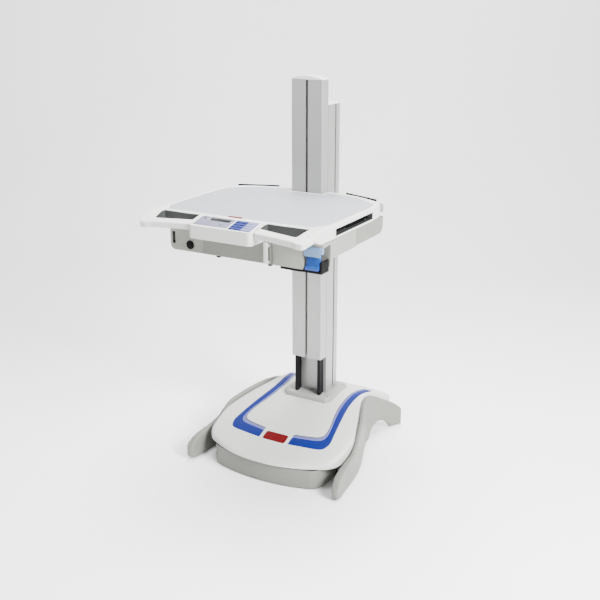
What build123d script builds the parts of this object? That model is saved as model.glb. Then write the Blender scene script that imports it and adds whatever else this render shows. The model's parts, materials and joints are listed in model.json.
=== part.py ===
from build123d import *
import os

# Height-adjustable medication cart. Millimetres, +Z up, -Y is the side the nurse stands at.
# Every piece is laid out about the mast's centre line on the floor, then moved by MAST_Y so that
# the origin ends up at the centre of the footprint of the whole cart.

# ---- overall ----
FRONT_REACH = 588.0            # mast centre line to the front of the handles
REAR_REACH = 204.0             # mast centre line to the rear feet
MAST_Y = (FRONT_REACH - REAR_REACH) / 2

# ---- base ----
RAIL_BOTTOM = 3.0              # ground clearance of the side rails
RAIL_T = 14.0                  # thickness of a side rail
CHASSIS_Z = 66.0               # underside of the chassis plate
CHASSIS_T = 5.0
TABS = ((250.5, (-262.0, -236.0)), (171.5, (20.0, 46.0)))   # half width and depth of the rail tabs
COVER_T = 3.0
COVER_BOTTOM = 70.0
COVER_GAP = 1.5                # gap between cover and side rail
SKIRT_Z = (4.0, CHASSIS_Z)
SKIRT_T = 4.0
SKIRT_BACK = -240.0
STRIPE_T = 0.8
BADGE_T = 1.6
BADGE = (86.0, 34.0)           # width and depth of the blank badge on the stripe
BADGE_Y = -298.0
GRAPHICS_X = 6.0               # the stripe and badge sit a little right of the middle
LIP = -404.0                   # front of the cover's lip
PANEL_WINDOW_Z = 116.0         # top of the opening that the rear panel closes

# ---- casters ----
FRONT_CASTER = (148.0, -262.0)
REAR_CASTER = (114.0, 112.0)
WHEEL_R = 25.0
WHEEL_W = 12.0
WHEEL_X = 13.0                 # middle of each of the twin wheels from the swivel line
TRAIL = 16.0
AXLE_R = 3.0
STEM_R = 5.5
RUN_FIT = 0.05                 # radial running clearance of shafts
FORK_TOP = 64.0

# ---- mast ----
MAST_W = 110.0
MAST_D = 84.0                  # fixed column, front to back
MAST_TOP = 1155.0
WALL = 4.0
FOOT_TOP = 181.0
SLIDER_FRONT = -83.0           # front face of the lifting column
SLIDER_BACK = -43.5
SLIDER_Z = (315.0, 1233.0)
RAIL_Z = (FOOT_TOP + 1, 1100.0)
ARM_Z = 800.0                  # where the gas spring pushes on the lifting column
SPRING_Y = 8.0
SPRING_R = 14.0
SPRING_BORE = 12.0
ROD_R = 5.0

# ---- worktop ----
TOP_Z = 884.0
FRAME_DEPTH = 41.0
FRAME_HALF = 284.0
SKIN = 5.0
MAT_T = 2.5
LIP_Y = -505.0                 # where the top starts to fall towards the handles
LIP_DROP = 22.0
HANDLE_H = 18.0
PANEL_HALF = 104.0
PANEL_Y = (-580.0, -508.0)
PANEL_BOTTOM = 832.0
PANEL_GAP = 2.5
PANEL_FRONT_Z = 870.0          # height of the panel's face at its front edge
PANEL_SLOPE = 0.238
DISPLAY_X = (-59.0, 9.0)
DISPLAY_Y = (-540.0, -524.0)
KEYPAD_X = (24.0, 96.0)
KEYPAD_Y = (-574.0, -519.0)
RECESS = 3.0                   # depth of the display's and the keypad's recesses
BUTTONS = ((-78.0, -530.0), (-8.0, -556.0))
BUTTON_R = 4.0

# ---- units under the worktop ----
UNIT_FRONT = -500.0
UNIT_Z = (765.0, 843.0)
STRIP_T = 7.0                  # thickness of the black strip under the right-hand bay
LOCK_X = -156.0
LOCK_Z = 786.0
DRAWER_X = (-108.0, 122.0)
DRAWER_Z = (769.0, 827.0)
POD_X = (130.0, 280.0)
POD_Y = (-440.0, -106.0)
POD_Z = (792.0, 843.0)
TRAY_Z = (853.0, 868.0)
TRAY_Y = (-424.0, -194.0)

os.makedirs("parts", exist_ok=True)


# ---------------------------------------------------------------- helpers
def save(name, *solids):
    """Move the solids of one node to the shared origin and write them."""
    shape = solids[0] if len(solids) == 1 else Compound(list(solids))
    shape = Pos(0, MAST_Y, 0) * shape
    shape.label = name
    export_step(shape, f"parts/{name}.step")


def block(x, y, z):
    """Box between the given (low, high) pairs."""
    centre = Pos((x[0] + x[1]) / 2, (y[0] + y[1]) / 2, (z[0] + z[1]) / 2)
    return centre * Box(x[1] - x[0], y[1] - y[0], z[1] - z[0])


def solid_of(shape):
    """The single solid inside a boolean result."""
    return shape.solids()[0]


def plan_prism(face, z):
    """Extrude a face drawn in plan between two heights."""
    return Pos(0, 0, z[0]) * extrude(face, z[1] - z[0], dir=(0, 0, 1))


def side_prism(points, x):
    """Extrude an outline given as (y, z) points across the width x."""
    outline = make_face(Plane.YZ * Polyline(*points, close=True))
    return Pos(x[0], 0, 0) * extrude(outline, x[1] - x[0], dir=(1, 0, 0))


def rod(radius, start, length, axis="z"):
    """Cylinder that starts at a point and runs along +X, +Y or +Z."""
    turn = {"x": Rot(0, 90, 0), "y": Rot(-90, 0, 0), "z": Rot(0, 0, 0)}[axis]
    aligned = Cylinder(radius, length, align=(Align.CENTER, Align.CENTER, Align.MIN))
    return Pos(*start) * turn * aligned


def grown(span, by):
    """A (low, high) pair made wider at both ends."""
    return (span[0] - by, span[1] + by)


def mirrored(shape):
    return mirror(shape, Plane.YZ)


# ---------------------------------------------------------------- base shapes
RAIL_PATH = [(286, -386), (275, -300), (266, -230), (253, -170), (226, -92), (196, -8), (187, 45),
             (193, 100), (212, 155), (238, 200)]


FOOT_SWELL = (11, 6)           # how much thicker a rail is at its first two path points


def rail_inner():
    """Inner plan line of a rail, which thickens towards its front foot."""
    thickness = [RAIL_T + FOOT_SWELL[0], RAIL_T + FOOT_SWELL[1]] + [RAIL_T] * (len(RAIL_PATH) - 2)
    return Spline(*[(x - t, y) for (x, y), t in zip(RAIL_PATH, thickness)])


def rail_curve(inset):
    """Plan line of the right-hand rail, moved towards the middle of the cart."""
    return Spline(*[(x - inset, y) for x, y in RAIL_PATH])


def cover_side():
    """Side view of the cover: a long arc from the front lip up to the mast, then falling to the back."""
    front = ThreePointArc((LIP, 72), (-170, 147), (10, 175))
    back = ThreePointArc((10, 175), (105, 160), (178, 126))
    rest = Polyline((178, 126), (178, COVER_BOTTOM), (LIP, COVER_BOTTOM), (LIP, 72))
    return make_face(Plane.YZ * (front + back + rest))


def cover_plan(inset):
    """Plan of the cover between the rails: bowed front with rounded corners, straight back."""
    side = rail_curve(RAIL_T + COVER_GAP + inset)
    start = side @ 0
    far = LIP - 10
    band = make_face(side + Polyline(side @ 1, (0, 200), (0, far), (start.X, far), start))
    tip = (190 - inset / 2, -354 + inset)
    heel = (242 - inset, -285 + inset / 2)
    bow = ThreePointArc((0, LIP + 2 + inset), (100 - inset / 4, -391 + inset), tip)
    corner = ThreePointArc(tip, (225 - inset * 0.8, -330 + inset * 0.8), heel)
    back = 166 - inset
    rest = Polyline(heel, (248 - inset, -215), (260, -200), (260, back), (0, back), (0, LIP + 2 + inset))
    half = band & make_face(bow + corner + rest)
    return half + mirrored(half)


def cover_arc_block():
    """The cover's side view carried across the full width."""
    return Pos(-300, 0, 0) * extrude(cover_side(), 600, dir=(1, 0, 0))


def cover_block(inset, lower):
    """Solid inside the cover's skin, inset in plan and lowered in height."""
    plan = plan_prism(cover_plan(inset), (20, 220))
    return solid_of(plan & Pos(0, 0, -lower) * cover_arc_block())


def make_cover(outer):
    inner = cover_block(COVER_T, COVER_T)
    floor = block((-300, 300), (-420, 300), (0, COVER_BOTTOM))
    back_window = block((-150, 150), (150, 200), (COVER_BOTTOM - 10, PANEL_WINDOW_Z))
    mast_hole = block((-60, 60), (-80, 46), (100, 220))
    shell = outer - inner - floor - back_window - mast_hole
    for x, y in TABS:
        notch_z = (COVER_BOTTOM - 1, CHASSIS_Z + CHASSIS_T + 1)
        shell -= block((-x - 1, x + 1), (y[0] - 1, y[1] + 1), notch_z)
    return solid_of(shell)


STRIPE_OUTER = [(0, -320), (174, -300), (183, -264), (163, -170), (148, -81), (148, -10), (162, 84)]
STRIPE_INNER = [(0, -272), (143, -252), (151, -222), (131, -145), (119, -81), (119, -10), (132, 84)]


def stripe_face():
    """The stripe's outline: a broad U with rounded front corners that opens to the rear."""
    half = make_face(Polyline(*STRIPE_OUTER, *reversed(STRIPE_INNER), close=True))
    for radius, low_x, high_x in ((22, 170, 195), (14, 140, 155)):
        corners = [v for v in half.vertices() if low_x < v.X < high_x and v.Y < -210]
        half = fillet(corners, radius)
    return Pos(GRAPHICS_X, 0) * (half + mirrored(half))


def surface_layer(thickness, face):
    """A layer of constant height on top of the cover inside a plan outline."""
    layer = plan_prism(face, (60, 240)) & Pos(0, 0, thickness) * cover_arc_block()
    return layer - cover_arc_block()


def skirt_plan(inset):
    """Plan of the skirt: the cover's bow set back, with tight front corners."""
    tip = (166 - inset, -371 + inset)
    heel = (201 - inset, -322)
    bow = ThreePointArc((0, LIP + 8 + inset), (95 - inset / 2, -388 + inset), tip)
    corner = ThreePointArc(tip, (190 - inset, -355 + inset / 2), heel)
    rest = Polyline(heel, (204 - inset, SKIRT_BACK), (0, SKIRT_BACK), (0, LIP + 8 + inset))
    half = make_face(bow + corner + rest)
    return half + mirrored(half)


def make_skirt():
    """Grey skirt under the cover's lip, between the front feet, open to the rear."""
    inner = plan_prism(skirt_plan(SKIRT_T), (0, 80))
    opening = block((-197, 197), (SKIRT_BACK - 20, SKIRT_BACK + 10), (0, 80))
    return solid_of(plan_prism(skirt_plan(0), SKIRT_Z) - inner - opening)


def rail_side():
    """Side view of a rail: low front foot, tall middle, arched underside ahead of the rear foot."""
    low = RAIL_BOTTOM
    top = Spline((-398, 34), (-384, 58), (-320, 82), (-230, 102), (-180, 138), (-137, 152), (-76, 167),
                 (0, 172), (70, 152), (130, 119), (176, 90), (200, 66))
    under = Polyline((200, 66), (204, 40), (204, low), (160, low))
    arch = ThreePointArc((160, low), (96, 44), (38, low))
    front = Polyline((38, low), (-372, low), (-394, low + 8), (-398, 34))
    return make_face(Plane.YZ * (top + under + arch + front))


def make_rail():
    outer = rail_curve(0)
    inner = rail_inner()
    nose = ThreePointArc(outer @ 0, (274, -398), inner @ 0)
    heel = ThreePointArc(outer @ 1, (232, 204), inner @ 1)
    plan = make_face(outer + heel + inner + nose)
    body = plan_prism(plan, (0, 200)) & (Pos(100, 0, 0) * extrude(rail_side(), 250, dir=(1, 0, 0)))
    return solid_of(body)


def socket_points():
    fx, fy = FRONT_CASTER
    rx, ry = REAR_CASTER
    return [(-fx, fy), (fx, fy), (-rx, ry), (rx, ry)]


def make_chassis():
    """Welded steel plate with four caster sockets and tabs that the rails bolt to."""
    z = (CHASSIS_Z, CHASSIS_Z + CHASSIS_T)
    half = [(212, -286), (212, -238), (130, -60), (134, 130)]
    outline = Polyline(*half, *[(-x, y) for x, y in reversed(half)], close=True)
    plate = plan_prism(make_face(outline), z)
    for x, y in socket_points():
        plate += rod(12, (x, y, CHASSIS_Z), 20)
    for x, y in TABS:
        plate += block((-x, x), y, z)
    plate += block((-75, 75), (-62, 62), (CHASSIS_Z + CHASSIS_T, CHASSIS_Z + CHASSIS_T + 6))
    for x, y in socket_points():
        plate -= rod(STEM_R + RUN_FIT, (x, y, CHASSIS_Z - 1), 30)
    return solid_of(plate)


def make_battery():
    body = block((-95, 95), (-236, -96), (71, 121))
    return solid_of(fillet(body.edges().filter_by(Axis.Z), 8))


def make_power_module():
    body = block((-100, 100), (68, 128), (71, 126))
    return solid_of(fillet(body.edges().filter_by(Axis.X), 3))


def make_rear_panel():
    plate = block((-149, 149), (160, 163), (67, PANEL_WINDOW_Z - 1))
    inlet = block((-14, 14), (155, 170), (80, 104))
    return solid_of(plate - inlet)


def make_power_inlet():
    body = block((-13.5, 13.5), (140, 163), (80.5, 103.5))
    flange = block((-18, 18), (163, 166), (76, 108))
    mouth = block((-10, 10), (148, 170), (84, 100))
    return solid_of(body + flange - mouth)


# ---------------------------------------------------------------- casters
def make_fork():
    """Swivel housing of a twin-wheel caster about its own swivel line; the wheels trail to +Y."""
    top = rod(16, (0, 0, 55), FORK_TOP - 55)
    stem = rod(STEM_R, (0, 0, FORK_TOP - 1), 20)
    web = side_prism([(-12, 56), (TRAIL + 9, 56), (TRAIL + 10, 30), (TRAIL + 5, 18), (TRAIL - 6, 18),
                      (-9, 42)], (-5, 5))
    axle_hole = rod(AXLE_R, (-6, TRAIL, WHEEL_R), 12, "x")
    return top + stem + web - axle_hole


def add_pedal_pins(fork):
    """Ear and two stub pins that carry the brake pedal."""
    ear = rod(5, (-5, TRAIL + 6, 54), 10, "x")
    pins = rod(2, (-9, TRAIL + 6, 54), 18, "x")
    return fork + ear + pins


def make_wheels():
    """Two wheels with rounded treads on one axle."""
    wheels = []
    for side in (-1, 1):
        wheel = rod(WHEEL_R, (side * WHEEL_X - WHEEL_W / 2, TRAIL, WHEEL_R), WHEEL_W, "x")
        wheel = fillet(wheel.edges().filter_by(GeomType.CIRCLE), 3)
        dish = rod(13, (side * (WHEEL_X + WHEEL_W / 2) - 2, TRAIL, WHEEL_R), 4, "x")
        hole = rod(AXLE_R + RUN_FIT, (side * WHEEL_X - 8, TRAIL, WHEEL_R), 16, "x")
        wheels.append(solid_of(wheel - dish - hole))
    return wheels


def make_axle():
    return rod(AXLE_R, (-17, TRAIL, WHEEL_R), 34, "x")


def make_pedal():
    """Brake pedal: a ribbed tab with two cheeks around the fork's ear."""
    pivot = (TRAIL + 6, 54)
    tab = block((-9, 9), (TRAIL + 14, TRAIL + 36), (53, 57))
    tab = fillet(tab.edges().filter_by(Axis.Z).group_by(Axis.Y)[-1], 6)
    for side in (-1, 1):
        cheek = block(sorted((side * 5.4, side * 9)), (pivot[0] - 3, TRAIL + 20), (51, 58))
        tab += cheek
    tab -= rod(2 + RUN_FIT, (-12, pivot[0], pivot[1]), 24, "x")
    return solid_of(tab)


# ---------------------------------------------------------------- mast
def tslot(mouth, cavity, depth, z):
    """T-slot cutter whose mouth opens at y=0 towards -Y."""
    mouth_cut = block((-mouth / 2, mouth / 2), (-1, depth), z)
    return mouth_cut + block((-cavity / 2, cavity / 2), (2.5, depth), z)


def make_fixed_mast():
    z = (CHASSIS_Z + CHASSIS_T + 6, MAST_TOP)
    half, deep = MAST_W / 2, MAST_D / 2
    body = block((-half, half), (-deep, deep), z)
    body = fillet(body.edges().filter_by(Axis.Z).sort_by(Axis.Y)[2:], 8)
    bore = block((-half + 14, half - 14), (-deep + WALL, deep - WALL), (z[0] - 1, z[1] + 1))
    side_slot = Pos(half, 8, 0) * Rot(0, 0, 90) * tslot(8, 16, 9, (FOOT_TOP + 6, z[1] + 1))
    window = block((-8, 8), (-deep - 1, -deep + WALL + 1), (ARM_Z - 180, ARM_Z + 320))
    return solid_of(body - bore - side_slot - mirrored(side_slot) - window)


def make_guide_rails():
    """Black T-section rails on the fixed column's front face."""
    rails = []
    for side in (-1, 1):
        web = block(sorted((side * 41.5, side * 44.5)), (-60, -MAST_D / 2), RAIL_Z)
        head = block(sorted((side * 38, side * 48)), (-74, -58), RAIL_Z)
        rails.append(solid_of(web + head))
    return rails


def make_fixed_cap():
    top = block((-55, 55), (-42, 42), (MAST_TOP, MAST_TOP + 5))
    top = fillet(top.edges().filter_by(Axis.Z).sort_by(Axis.Y)[2:], 8)
    top = chamfer(top.edges().group_by(Axis.Z)[-1], 2.5)
    plug = block((-40, 40), (-37, 37), (MAST_TOP - 8, MAST_TOP))
    return solid_of(top + plug)


def make_mast_foot():
    """Collar on top of the cover, shaped to the cover's arc underneath."""
    half = [(76, -88), (90, -72), (90, 50), (74, 68)]
    plan = Polyline(*half, *[(-x, y) for x, y in reversed(half)], close=True)
    body = plan_prism(make_face(plan), (150, FOOT_TOP))
    body = chamfer(body.edges().group_by(Axis.Z)[-1], 3)
    half, deep = MAST_W / 2 + 0.5, MAST_D / 2 + 0.5
    around = block((-half, half), (-deep, deep), (100, 200))
    return solid_of(body - cover_arc_block() - around)


def make_foot_screws():
    screws = []
    for x, y in ((-76, -66), (76, -66), (-76, 48), (76, 48)):
        head = rod(4.5, (x, y, FOOT_TOP), 2.2)
        socket = rod(2, (x, y, FOOT_TOP + 0.8), 3)
        screws.append(solid_of(head - socket))
    return screws


def make_spring_cylinder():
    """Gas spring barrel inside the fixed column, with a gland at its top."""
    base = CHASSIS_Z + CHASSIS_T + 6
    barrel = rod(SPRING_R, (0, SPRING_Y, base), 660 - base)
    chamber = rod(SPRING_BORE, (0, SPRING_Y, 190), 450)
    gland = rod(ROD_R + RUN_FIT, (0, SPRING_Y, 600), 100)
    return solid_of(barrel - chamber - gland)


def make_spring_rod():
    piston = rod(SPRING_BORE - 0.3, (0, SPRING_Y, 324), 14)
    stem = rod(ROD_R, (0, SPRING_Y, 330), ARM_Z - 12 - 330)
    return solid_of(piston + stem)


def make_spring_arm():
    """Arm from the lifting column through the window to the spring's rod."""
    arm = block((-6, 6), (-79, SPRING_Y + 12), (ARM_Z - 12, ARM_Z + 12))
    groove_room = block((-13, 13), (-84, -66.5), (ARM_Z - 20, ARM_Z + 20))
    foot = block((-24, 24), (-66.5, -60), (ARM_Z - 20, ARM_Z + 20))
    return solid_of(arm - groove_room + foot)


def make_slider():
    """Lifting column: open-backed section with a T-slot down its front.

    It is made of nine straight strips that touch, one solid for each wall of the section.
    """
    half = MAST_W / 2
    outer = block((-half, half), (SLIDER_FRONT, SLIDER_BACK), SLIDER_Z)
    outer = fillet(outer.edges().filter_by(Axis.Z).sort_by(Axis.Y)[:2], 3)
    mouth, head, boss = 4.5, 9.5, 12.5
    walls = [((half - WALL, half), SLIDER_BACK - SLIDER_FRONT),
             ((boss, half - WALL), WALL),
             ((head, boss), 16),
             ((mouth, head), 2.5)]
    strips = [block((-head, head), (SLIDER_FRONT + 13, SLIDER_FRONT + 16), SLIDER_Z)]
    for x, depth in walls:
        strip = solid_of(outer & block(x, (SLIDER_FRONT, SLIDER_FRONT + depth), SLIDER_Z))
        strips += [strip, mirrored(strip)]
    return strips


def make_slider_cap():
    """Moulded cap, arched across the width."""
    half = MAST_W / 2
    low = SLIDER_Z[1]
    arch = ThreePointArc((-half, low + 3), (0, low + 13), (half, low + 3))
    rim = Polyline((half, low + 3), (half, low), (-half, low), (-half, low + 3))
    face = make_face(Plane.XZ * (arch + rim))
    body = Pos(0, SLIDER_FRONT, 0) * extrude(face, SLIDER_BACK - SLIDER_FRONT, dir=(0, 1, 0))
    plug = block((-half + WALL + 0.5, half - WALL - 0.5), (-66, SLIDER_BACK - 2), (low - 10, low))
    return solid_of(body + plug)


def make_glides():
    """Four plastic blocks in the lifting column that hook round the guide rails."""
    glides = []
    for side in (-1, 1):
        for low in (330, 735):
            z = (low, low + 60)
            long_z = (low - 1, low + 61)
            body = block(sorted((side * 34, side * 51)), (-79, -50), z)
            body -= block(sorted((side * 37.7, side * 48.3)), (-74.3, -57.7), long_z)
            body -= block(sorted((side * 41.2, side * 44.8)), (-58, -49), long_z)
            glides.append(solid_of(body))
    return glides


# ---------------------------------------------------------------- worktop
def frame_outline():
    """Right half of the worktop's plan: rounded corners, bowed rear edge, notch for the column."""
    front = [(0, -578), (110, -568), (232, -582), (250, -FRONT_REACH), (271, -FRONT_REACH), (281, -556)]
    side = [(FRAME_HALF, -440), (FRAME_HALF, -190), (279, -128), (258, -102)]
    rear = [(184, -66), (118, -48), (58, -44), (58, -86), (0, -86)]
    pts = front + side + rear
    half = make_face(Polyline(*pts, close=True))
    whole = half + mirrored(half)
    corners = [v for v in whole.vertices() if abs(v.X) > 257 and (v.Y < -570 or v.Y > -135)]
    return fillet(corners, 12)


def frame_side():
    """Side view of the worktop with its falling front."""
    drop = TOP_Z - LIP_DROP
    return [(-40, TOP_Z), (LIP_Y, TOP_Z), (-FRONT_REACH - 2, drop), (-FRONT_REACH - 2, drop - HANDLE_H),
            (-530, 845), (LIP_Y, TOP_Z - FRAME_DEPTH), (-40, TOP_Z - FRAME_DEPTH)]


def handle_opening():
    """Plan of one handle's opening, with rounded corners."""
    pts = [(110, -541.5), (235, -559), (246, -503), (110, -506)]
    face = make_face(Polyline(*pts, close=True))
    return fillet(face.vertices(), 6)


def panel_notch():
    return block(grown((-PANEL_HALF, PANEL_HALF), PANEL_GAP), (-620, PANEL_Y[1] + 0.3), (800, 900))


def make_worktop_frame():
    """Moulded frame: deep rim, thin top skin, two handle openings, side slot for the mouse tray."""
    outline = frame_outline()
    body = plan_prism(outline, (800, 900)) & side_prism(frame_side(), (-300, 300))
    behind_lip = make_face(Polyline((-300, -492), (300, -492), (300, 0), (-300, 0), close=True))
    room = offset(outline, -8) & behind_lip
    body -= plan_prism(room, (800, TOP_Z - SKIN - MAT_T))
    body -= plan_prism(mat_plan(0.3), (TOP_Z - MAT_T, TOP_Z + 10))
    hole = plan_prism(handle_opening(), (800, 900))
    body -= hole
    body -= mirrored(hole)
    body -= panel_notch()
    body -= block((-55, 55), (-96, -82), (800, TOP_Z - SKIN - MAT_T))
    for strip in make_rear_strip():
        body -= strip
    body -= block((FRAME_HALF - 20, FRAME_HALF + 10), (TRAY_Y[0] - 3, TRAY_Y[1] + 3), (851, 871))
    return solid_of(body)


def mat_plan(grow=0):
    """Plan of the inset work surface."""
    pts = [(0, -489), (238, -487), (266, -440), (268, -190), (262, -140), (180, -84), (112, -66),
           (66, -62), (66, -94), (0, -94)]
    half = make_face(Polyline(*pts, close=True))
    face = half + mirrored(half)
    return offset(face, grow) if grow else face


def make_mat():
    return solid_of(plan_prism(mat_plan(), (TOP_Z - MAT_T, TOP_Z - 0.4)))


def make_rear_strip():
    """Rubber bumpers: a strip along the rear edge and a corner roller, each side of the column."""
    strips = []
    for side in (-1, 1):
        pts = [(124, -50), (252, -97), (250, -91), (123, -44)]
        face = make_face(Polyline(*[(side * x, y) for x, y in pts], close=True))
        strips.append(plan_prism(face, (868, TOP_Z + 4)))
        strips.append(rod(11, (side * 270, -112, 856), 24))
    return strips


def make_top_badge():
    plate = block((-19, 23), (-504, -491.5), (TOP_Z, TOP_Z + 3))
    return solid_of(fillet(plate.edges().filter_by(Axis.Z), 2))


def make_lift_bracket():
    """Welded bracket from the lifting column to the underside of the worktop."""
    under = TOP_Z - SKIN - MAT_T
    back = block((-54, 54), (SLIDER_FRONT - 6, SLIDER_FRONT), (776, under))
    top = block((-110, 110), (-470, -97), (under - 3, under))
    neck = block((-52, 52), (-98, SLIDER_FRONT - 6), (under - 3, under))
    body = back + top + neck
    for side in (-1, 1):
        gusset = side_prism([(SLIDER_FRONT - 6, 776), (SLIDER_FRONT - 6, under - 3), (-460, under - 3),
                             (-460, 850), (-200, 848)], sorted((side * 48, side * 52)))
        body += gusset
    return solid_of(body)


def make_front_unit():
    """Moulded case under the front edge: lock bay, drawer bay and right-hand bay."""
    body = block((-228, 284), (UNIT_FRONT, -300), UNIT_Z)
    body = fillet(body.edges().filter_by(Axis.Y).group_by(Axis.Z)[0], 16)
    drawer_bay = block((DRAWER_X[0] - 1.5, DRAWER_X[1] + 1.5), (UNIT_FRONT - 5, -200),
                       (DRAWER_Z[0] - 2, 830))
    room = block((-224, 280), (UNIT_FRONT + 4, -304), (830, 850))
    left_bay = block((-224, DRAWER_X[0] - 5), (UNIT_FRONT + 4, -304), (UNIT_Z[0] + 6, 850))
    right_bay = block((DRAWER_X[1] + 5, 216), (UNIT_FRONT + 4, -304), (UNIT_Z[0] + 4, 850))
    lever_bay = block((222, 290), (UNIT_FRONT - 5, UNIT_FRONT + 44), (UNIT_Z[0] - 5, 834))
    under_pod = block((222, 290), (UNIT_FRONT + 60, -290), (UNIT_Z[0] - 5, POD_Z[0]))
    slot = block((-221, -210), (UNIT_FRONT - 5, UNIT_FRONT + 12), (784, 820))
    lock_hole = rod(8.3, (LOCK_X, UNIT_FRONT - 2, LOCK_Z), 8, "y")
    for cut in (drawer_bay, room, left_bay, right_bay, lever_bay, under_pod, slot, lock_hole):
        body -= cut
    return solid_of(body)


def make_unit_strip():
    """Black rubbing strip under the right-hand bay that turns up beside the lever."""
    z = (UNIT_Z[0] - STRIP_T, UNIT_Z[0])
    under_bay = block((149, 216), (UNIT_FRONT, -320), z)
    guard = block((210, 279), (UNIT_FRONT + 2, UNIT_FRONT + 44), z)
    upright = block((274, 279), (UNIT_FRONT + 2, UNIT_FRONT + 44), (z[0], POD_Z[0]))
    return solid_of(under_bay + guard + upright)


def make_bump_stops():
    """Two rubber feet under the front edge of the drawer bay."""
    stops = []
    for x in (-62, 112):
        foot = rod(7, (x, UNIT_FRONT + 9, UNIT_Z[0] - 6), 6)
        stops.append(solid_of(fillet(foot.edges().group_by(Axis.Z)[0], 2)))
    return stops


def make_pod():
    """Side pod under the mouse tray, rounded at its rear corner."""
    outer = block(POD_X, POD_Y, POD_Z)
    corner = outer.edges().filter_by(Axis.X).sort_by(Axis.Z)[:2].sort_by(Axis.Y)[-1:]
    outer = fillet(corner, 26)
    inner = block((POD_X[0] + 3, POD_X[1] - 3), (POD_Y[0] + 3, POD_Y[1] - 24), (POD_Z[0] + 3, 860))
    front_room = block((POD_X[0] - 1, POD_X[1] + 1), (-460, -299.5), (780, 850))
    return solid_of(outer - inner - front_room)


def make_mouse_tray():
    """Thin tray that slides out of the right-hand slot."""
    body = block((100, 266), TRAY_Y, (TRAY_Z[0], TRAY_Z[1]))
    well = block((106, 260), (TRAY_Y[0] + 6, TRAY_Y[1] - 6), (TRAY_Z[0] + 3, TRAY_Z[1] + 1))
    return solid_of(body - well)


def make_runners():
    """Steel runners of the drawer and of the mouse tray."""
    runners = []
    for side, x in ((-1, DRAWER_X[0] + 4), (1, DRAWER_X[1] - 4)):
        runners.append(block(sorted((x + side * 0.5, x + side * 4)), (-488, -310), (800, 812)))
    for y in (TRAY_Y[0] - 4, TRAY_Y[1] + 1):
        runners.append(block((108, 262), (y, y + 3), (TRAY_Z[0] - 6, TRAY_Z[1])))
    return runners


def make_drawer_tray():
    x = (DRAWER_X[0] + 5, DRAWER_X[1] - 5)
    body = block(x, (UNIT_FRONT + 1, -306), (DRAWER_Z[0] + 2, DRAWER_Z[1] - 4))
    room = block((x[0] + 2, x[1] - 2), (UNIT_FRONT + 3, -308), (DRAWER_Z[0] + 4, 900))
    return solid_of(body - room)


def make_drawer_front():
    body = block(DRAWER_X, (UNIT_FRONT - 5, UNIT_FRONT + 1), DRAWER_Z)
    return solid_of(fillet(body.edges().group_by(Axis.Y)[0], 1.5))


def make_drawer_pull():
    """Upright grip at the right end of the drawer front."""
    x = (106, 118)
    low, high = DRAWER_Z[0] + 2, DRAWER_Z[1] + 4
    grip = block(x, (UNIT_FRONT - 19, UNIT_FRONT - 13), (low, high))
    for foot in ((low, low + 6), (high - 14, high - 6)):
        grip += block(x, (UNIT_FRONT - 14, UNIT_FRONT - 5), foot)
    return solid_of(grip)


def make_lock_bezel():
    """Round escutcheon with a sleeve for the lock cylinder."""
    flange = rod(13, (LOCK_X, UNIT_FRONT - 3, LOCK_Z), 3, "y")
    sleeve = rod(8.3, (LOCK_X, UNIT_FRONT - 3, LOCK_Z), 11, "y")
    return solid_of(flange + sleeve - rod(6 + RUN_FIT, (LOCK_X, UNIT_FRONT - 5, LOCK_Z), 20, "y"))


def make_lock_cylinder():
    plug = rod(6, (LOCK_X, UNIT_FRONT - 4, LOCK_Z), 18, "y")
    keyway = block((LOCK_X - 1, LOCK_X + 1), (UNIT_FRONT - 5, UNIT_FRONT + 2), (LOCK_Z - 4, LOCK_Z + 4))
    cam_y = (UNIT_FRONT + 14, UNIT_FRONT + 17)
    cam = block((LOCK_X - 3, LOCK_X + 3), cam_y, (LOCK_Z - 12, LOCK_Z + 4))
    return solid_of(plug - keyway + cam)


def panel_z(y):
    """Height of the panel's face at a depth."""
    return PANEL_FRONT_Z + (y - PANEL_Y[0]) * PANEL_SLOPE


def panel_layer(x, y, low, high):
    """Slab that lies along the sloping face, between two heights measured from it."""
    front, back = panel_z(y[0]), panel_z(y[1])
    return side_prism([(y[0], front + low), (y[1], back + low), (y[1], back + high), (y[0], front + high)], x)


def make_panel_housing():
    """Pod that holds the display and keypad, sloping down to the user."""
    body = block((-PANEL_HALF, PANEL_HALF), PANEL_Y, (PANEL_BOTTOM, 900))
    body = fillet(body.edges().filter_by(Axis.Z).sort_by(Axis.Y)[:2], 14)
    body -= panel_layer((-200, 200), (-620, -450), 0, 60)
    body -= panel_layer(grown(DISPLAY_X, 0.3), grown(DISPLAY_Y, 0.3), -RECESS, 20)
    body -= panel_layer(grown(KEYPAD_X, 0.3), grown(KEYPAD_Y, 0.3), -RECESS, 20)
    for x, y in BUTTONS:
        body -= rod(BUTTON_R + 0.3, (x, y, 850), 50)
    return solid_of(body)


def make_display():
    return panel_layer(DISPLAY_X, DISPLAY_Y, -RECESS, -0.3)


def make_keypad():
    """Silicone keypad: one sheet with raised keys, two columns of square ones and one of bars."""
    sheet = panel_layer(KEYPAD_X, KEYPAD_Y, -RECESS, -0.8)
    for row in range(4):
        y = KEYPAD_Y[0] + 2.5 + row * 13
        for column in range(2):
            x = KEYPAD_X[0] + 3 + column * 19
            sheet += panel_layer((x, x + 15), (y, y + 10), -2, 1.0)
        sheet += panel_layer((KEYPAD_X[1] - 29, KEYPAD_X[1] - 3), (y, y + 10), -2, 0.6)
    return solid_of(sheet)


def make_button(x, y):
    top = panel_z(y) + 1.2
    return rod(BUTTON_R, (x, y, top - 8), 8)


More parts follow.
